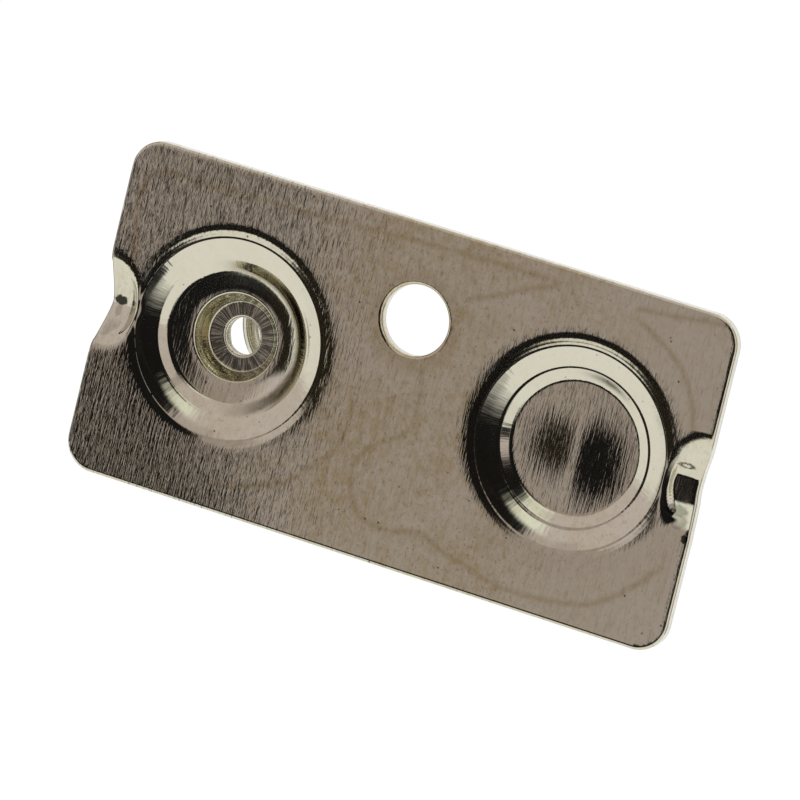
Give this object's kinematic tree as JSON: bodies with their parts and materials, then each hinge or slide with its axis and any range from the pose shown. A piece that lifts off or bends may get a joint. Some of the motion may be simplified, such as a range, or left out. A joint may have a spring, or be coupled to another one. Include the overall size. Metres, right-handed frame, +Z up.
{
  "type": "battery contact",
  "caption": "Stamped double battery contact: a flat sheet with a dish that carries a coil spring, a dish pressed into a button, a locating hole and pressed end grips.",
  "frame": {"origin": "middle of the line between the two cells' axes, on the sheet's flat outer face, which lies against the holder's wall", "axes": "the sheet stands upright as in its slot: +X along its length from the spring to the button, +Y from the outer face towards the cells, along the spring, +Z up, with the locating hole above the middle"},
  "size_m": [0.0264, 0.0084, 0.0136],
  "materials": {
    "plated_sheet": "nickel plated, fine rolled grain, with faint dried stain lines",
    "plated_wire": "nickel plated, smooth drawn wire"
  },
  "bodies": {
    "root": {"contact_plate": "plated_sheet", "coil_spring": "plated_wire"}
  },
  "joints": []
}
